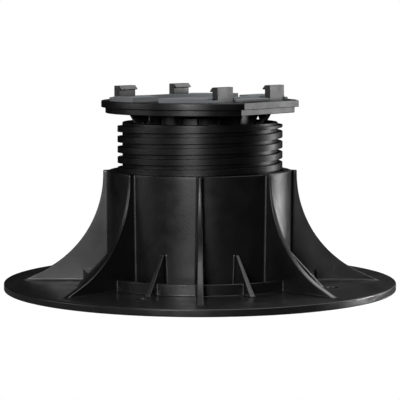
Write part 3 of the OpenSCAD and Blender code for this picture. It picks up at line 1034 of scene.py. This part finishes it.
@dataclass
class JoistHead(Part):
    """Plate with one flat side, rim, ribbed ball with hub and snap fingers, and four clips."""

    body: str = "head"
    low: float = 89.4
    rim_h: float = 2.95
    plate_t: float = 3.35
    plate_r: float = 50.15
    flat: float = 42.9
    rim_in: float = 2.1
    rim_wall: float = 2.2
    hole_r: float = 11.0
    ball_r: float = 40.5
    ball_rise: float = 11.3
    ribs: int = 20
    rib_t: float = 1.1
    rib_turn: float = -4.0
    rib_strip: float = 1.2
    rib_shoulder: float = 6.2
    open_low: float = 84.2
    drum_r: float = 25.4
    drum_low: float = 83.2
    rib_low: float = 74.6
    hub_r: float = 20.0
    hub_wall: float = 2.0
    fingers: int = 4
    hook_out: float = 5.4
    hook_top: float = 71.9
    hook_h: float = 2.6
    joist_w: float = 55.8
    clip_y: float = 24.4
    clip_w: float = 14.1
    clip_t: float = 3.05
    clip_h: float = 7.56
    hook_in: float = 1.4
    clip_hook_h: float = 2.2
    slot_reach: float = 3.0
    plate_ease_low: float = 0.3
    plate_ease_top: float = 0.5
    rim_ease: float = 0.35
    hub_ease: float = 0.3
    finger_ease: float = 0.25
    clip_ease: float = 0.18
    lap: float = 0.3
    sunk: float = 0.6

    @property
    def plate_low(self) -> float:
        """Height of the plate's underside."""
        return self.low + self.rim_h

    @property
    def top(self) -> float:
        """Height of the plate's top."""
        return self.plate_low + self.plate_t

    @property
    def joined(self) -> float:
        """Height to which the forms under the plate reach into it."""
        return self.plate_low + self.lap

    @property
    def ball_z(self) -> float:
        """Height of the ball's centre."""
        return self.top + self.ball_rise

    @property
    def open_high(self) -> float:
        """Height of the upper edge of the openings in the ribs."""
        return self.low + 0.6

    def clip_places(self) -> list[tuple[float, float]]:
        """Turn about Z and shift along the joist of each clip, before the turn."""
        return [(turn, y) for turn in (0.0, 180.0) for y in (-self.clip_y, self.clip_y)]

    def plate(self) -> bpy.types.Object:
        """The plate, with its round hole and the slot under each clip's hook."""
        outline = round_corners(flat_circle(self.plate_r, self.flat, PLATE_STEPS), 1.0, 4)
        holes = [list(reversed(circle(self.hole_r, 72)))]
        for turn, y in self.clip_places():
            face, half = self.joist_w / 2, self.clip_w / 2
            slot = oblong(face - self.slot_reach, face, y - half, y + half)
            holes.append(list(reversed(turned(round_corners(slot, 0.4, 3), turn))))
        mesh = Mesh()
        mesh.prism([outline, *holes], self.plate_low, self.top, self.plate_ease_low,
                   self.plate_ease_top)
        return mesh.made("joist_plate")

    def rim(self) -> bpy.types.Object:
        """The rim stepped in under the plate."""
        r, flat = self.plate_r - self.rim_in, self.flat - self.rim_in
        wall = self.rim_wall
        outer = round_corners(flat_circle(r, flat, PLATE_STEPS), 0.8, 3)
        inner = round_corners(flat_circle(r - wall, flat - wall, PLATE_STEPS), 0.5, 3)
        mesh = Mesh()
        mesh.prism([outer, list(reversed(inner))], self.low, self.joined, self.rim_ease, 0.0)
        return mesh.made("plate_rim")

    def ball_edge(self, z: float) -> float:
        """Radius of the ball at a height."""
        return math.sqrt(self.ball_r**2 - (self.ball_z - z) ** 2)

    def rib(self) -> bpy.types.Object:
        """One rib of the ball, along +X, with its opening beside the hub."""
        top = self.joined
        heights = [self.rib_low + (top - self.rib_low) * k / 24 for k in range(25)]
        shoulder = self.ball_edge(self.open_high) - self.rib_shoulder
        outline = [(self.hub_r - self.sunk, self.rib_low), *((self.ball_edge(z), z) for z in heights),
                   (shoulder, top), (shoulder, self.open_high),
                   (self.ball_edge(self.open_low) - self.rib_strip, self.open_low),
                   (self.drum_r - 1.0, self.open_low), (self.drum_r - 1.0, self.open_high),
                   (self.hub_r - self.sunk, self.open_high)]
        mesh = Mesh()
        mesh.prism([outline], -self.rib_t / 2, self.rib_t / 2, 0.2, 0.2, Place.UPRIGHT, steps=2)
        return mesh.made("ball_ribs")

    def arms(self) -> bpy.types.Object:
        """The ribs' arms under the plate, which end at the rim."""
        mesh = Mesh()
        reach_r = self.plate_r - self.rim_in - self.sunk
        reach_x = self.flat - self.rim_in - self.sunk
        for k in range(self.ribs):
            turn = self.rib_turn + 360 / self.ribs * k
            along = math.cos(math.radians(turn))
            end = min(reach_r, reach_x / along) if along > 0 else reach_r
            outline = oblong(self.hub_r - 0.5, end, self.open_high, self.joined)
            mesh.prism([outline], -self.rib_t / 2 + 0.02, self.rib_t / 2 - 0.02, 0.15, 0.15,
                       Place.UPRIGHT, turn, steps=2)
        return mesh.made("plate_arms")

    def hub(self) -> bpy.types.Object:
        """The hub in the middle of the ball and the drum round its upper part."""
        mesh = Mesh()
        for radius, low in ((self.hub_r, self.rib_low), (self.drum_r, self.drum_low)):
            wall = oblong(radius - self.hub_wall, radius, low, self.joined)
            mesh.revolve(round_corners(wall, self.hub_ease, 2), BORE_STEPS)
        return mesh.made("ball_hub")

    def finger(self) -> bpy.types.Object:
        """One snap finger under the hub."""
        inner = self.hub_r - self.hub_wall
        low = self.hook_top - self.hook_h
        wall = oblong(inner, self.hub_r, low, self.rib_low + 1.0)
        hook = [(inner + self.lap, low + 0.02), (self.hub_r, low + 0.02),
                (self.hub_r + self.hook_out, self.hook_top - 1.0),
                (self.hub_r + self.hook_out, self.hook_top), (inner + self.lap, self.hook_top)]
        mesh = Mesh()
        step = 360 / self.ribs
        mesh.revolve(round_corners(wall, self.finger_ease, 2), 16, self.rib_turn + step / 2, 2 * step)
        mesh.revolve(round_corners(hook, self.finger_ease, 2), 8, self.rib_turn + step, step)
        return mesh.made("snap_fingers")

    def clips(self) -> bpy.types.Object:
        """The four hooked clips for the joist."""
        x0, x1 = self.joist_w / 2, self.joist_w / 2 + self.clip_t
        z, top = self.top, self.top + self.clip_h
        hook = top - self.clip_hook_h
        outline = [(x0, z - self.sunk), (x1, z - self.sunk), (x1, top), (x0, top),
                   (x0 - self.hook_in, hook + 0.5), (x0 - self.hook_in, hook), (x0, hook)]
        outline = round_corners(outline, 0.3, 3)
        mesh = Mesh()
        for turn, y in self.clip_places():
            mesh.prism([outline], -y - self.clip_w / 2, -y + self.clip_w / 2, self.clip_ease,
                       self.clip_ease, Place.UPRIGHT, turn)
        return mesh.made("joist_clips")

    def build(self, material: bpy.types.Material, ring: RingTree) -> None:
        """Makes, shades and settles every piece of the head."""
        self.finish(self.plate(), material, "joist_head")
        for piece in (self.rim(), self.hub(), self.clips(), self.arms()):
            self.finish(piece, material)
        turn = math.radians(self.rib_turn)
        self.finish(ring.run(self.rib(), Count=self.ribs, Turn=turn, Finish=material), material)
        self.finish(ring.run(self.finger(), Count=self.fingers, Turn=0.0, Finish=material), material)


@dataclass
class GripPads(Part):
    """The grey rubber on both sides of the plate's middle channel."""

    body: str = "head"
    slot: str = "grey_rubber"
    ease: float = 0.35

    def build(self, material: bpy.types.Material) -> None:
        """Eases the edges of a copy of each pad's solid and settles it."""
        for node in ("grip_pad_round", "grip_pad_flat"):
            name = node.replace("grip_pad", "rubber")
            pad = bpy.data.objects.new(name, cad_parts[node].data.copy())
            bpy.context.scene.collection.objects.link(pad)
            pad.data.materials.clear()
            work = bmesh.new()
            work.from_mesh(pad.data)
            bmesh.ops.remove_doubles(work, verts=work.verts, dist=2e-6)
            bmesh.ops.dissolve_limit(work, angle_limit=math.radians(1.0), verts=work.verts,
                                     edges=work.edges)
            work.to_mesh(pad.data)
            work.free()
            eased = pad.modifiers.new("eased_edges", "BEVEL")
            eased.width = self.ease * MM
            eased.segments = 3
            eased.limit_method = "ANGLE"
            eased.angle_limit = math.radians(35.0)
            eased.miter_outer = "MITER_ARC"
            applied(pad)
            self.settle(shaded(pad, 45.0), material, node)


# ---------------------------------------------------------------- studio


class Side(Enum):
    """Which way a lamp stands from the camera's line of sight."""

    LEFT = -1
    RIGHT = 1


@dataclass
class Lamp:
    """A soft box that looks at the object's axis.

    Its place is counted from the camera's side in degrees, with a distance in metres. Its sizes and
    the height that it looks at are metres, its power is watts and its beam is degrees.
    """

    name: str
    side: Side
    around: float
    rise: float
    distance: float
    wide: float
    tall: float
    power: float
    aim: float = 0.05
    beam: float = 180.0


@dataclass
class Studio:
    """Pale floor, soft light and the camera."""

    azimuth: float = 33.5
    camera_distance: float = 0.906
    camera_height: float = 0.1282
    aim_height: float = 0.0447
    lens: float = 160.35
    floor_r: float = 240.0
    floor_gap: float = 0.15
    glimmer: float = 0.008
    lamps: tuple[Lamp, ...] = (
        Lamp("key_right", Side.RIGHT, 116.0, 7.0, 0.9, 0.26, 0.60, 3.1),
        Lamp("rim_right", Side.RIGHT, 107.0, 0.8, 0.8, 0.20, 0.04, 0.024, 0.008, 6.0),
        Lamp("front_left", Side.LEFT, 12.0, 12.0, 1.2, 0.36, 0.24, 8.2),
        Lamp("left", Side.LEFT, 78.0, 12.0, 1.0, 0.60, 0.26, 2.1),
        Lamp("back_right", Side.RIGHT, 143.0, 33.0, 1.0, 0.5, 0.5, 2.2),
        Lamp("top", Side.RIGHT, 100.0, 84.0, 1.0, 0.85, 0.85, 7.3),
    )

    def direction(self, side: Side, around: float, rise: float) -> Vector:
        """Unit vector from the object to a place, counted from the camera's side."""
        a = math.radians(self.azimuth)
        front = Vector((math.sin(a), -math.cos(a), 0.0))
        right = Vector((math.cos(a), math.sin(a), 0.0))
        t, r = math.radians(around), math.radians(rise)
        flat = front * math.cos(t) + right * (side.value * math.sin(t))
        return flat * math.cos(r) + Vector((0.0, 0.0, math.sin(r)))

    def camera(self) -> None:
        """Sets up the camera and makes it the scene's own."""
        data = bpy.data.cameras.new("camera")
        data.lens = self.lens
        data.sensor_width = 36.0
        data.clip_start = 0.01
        data.clip_end = 20.0
        camera = bpy.data.objects.new("camera", data)
        bpy.context.scene.collection.objects.link(camera)
        place = self.direction(Side.RIGHT, 0.0, 0.0) * self.camera_distance
        place.z = self.camera_height
        camera.location = place
        look = Vector((0.0, 0.0, self.aim_height)) - place
        camera.rotation_euler = look.to_track_quat("-Z", "Y").to_euler()
        bpy.context.scene.camera = camera

    def lights(self) -> None:
        """Hangs the soft boxes."""
        for lamp in self.lamps:
            data = bpy.data.lights.new(lamp.name, "AREA")
            data.shape = "RECTANGLE"
            data.size = lamp.wide
            data.size_y = lamp.tall
            data.energy = lamp.power
            data.spread = math.radians(lamp.beam)
            obj = bpy.data.objects.new(lamp.name, data)
            bpy.context.scene.collection.objects.link(obj)
            away = self.direction(lamp.side, lamp.around, lamp.rise)
            aim = Vector((0.0, 0.0, lamp.aim))
            obj.location = aim + away * lamp.distance
            obj.rotation_euler = (-away).to_track_quat("-Z", "Y").to_euler()

    def floor(self) -> None:
        """Lays a pale round floor that looks white and keeps the object's shadow."""
        mesh = Mesh()
        mesh.faces.append(tuple(mesh.ring((x, y, -self.floor_gap) for x, y in circle(self.floor_r, 96))))
        floor = mesh.made("floor")
        material = bpy.data.materials.new("pale_floor")
        material.use_nodes = True
        kit = Tree(material.node_tree)
        shader = material.node_tree.nodes["Principled BSDF"]
        seen = kit.node("ShaderNodeLightPath").outputs["Is Camera Ray"]
        given = {"Base Color": (0.12, 0.12, 0.12, 1.0), "Roughness": 0.9, "Specular IOR Level": 0.1,
                 "Emission Color": (1.0, 1.0, 1.0, 1.0),
                 "Emission Strength": kit.math("MULTIPLY", seen, 0.95)}
        for name, value in given.items():
            kit.put(shader.inputs[name], value)
        floor.data.materials.append(material)

    def world(self) -> None:
        """A dim room that the camera sees as white.

        Mirrored light stays dim on purpose, because gloss black plastic would turn grey all over.
        """
        world = bpy.data.worlds.new("studio")
        bpy.context.scene.world = world
        world.use_nodes = True
        kit = Tree(world.node_tree)
        shade = world.node_tree.nodes["Background"]
        shade.inputs["Color"].default_value = (1.0, 1.0, 1.0, 1.0)
        rays = kit.node("ShaderNodeLightPath").outputs
        seen = kit.math("MAXIMUM", rays["Is Camera Ray"], rays["Is Transmission Ray"])
        white = kit.math("MULTIPLY", seen, 1.0 - self.glimmer)
        kit.wire(kit.math("ADD", white, self.glimmer), shade.inputs["Strength"])

    def build(self) -> None:
        """Makes the whole studio."""
        scene = bpy.context.scene
        scene.view_settings.view_transform = "Standard"
        self.camera()
        self.lights()
        self.floor()
        self.world()


def main() -> None:
    """Builds the studio and every sub-assembly in order."""
    logging.basicConfig(level=logging.INFO, format="%(name)s: %(message)s")
    Studio().build()
    screw = Screw()
    thread_tree, ring_tree = ThreadTree(), RingTree()
    black, inner, rubber = MOULDED_BLACK.made(), INNER_BLACK.made(), GRIP_RUBBER.made()
    matt, head = COLUMN_BLACK.made(), HEAD_BLACK.made()
    for name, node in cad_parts.items():
        node.data.materials.clear()
        node.data.materials.append(rubber if name.startswith("grip") else black)
    Base().build(black, screw, thread_tree)
    Column().build(matt, screw, thread_tree)
    SeatRing().build(inner)
    JoistHead().build(head, ring_tree)
    GripPads().build(rubber)


if __name__ == "__main__":
    main()
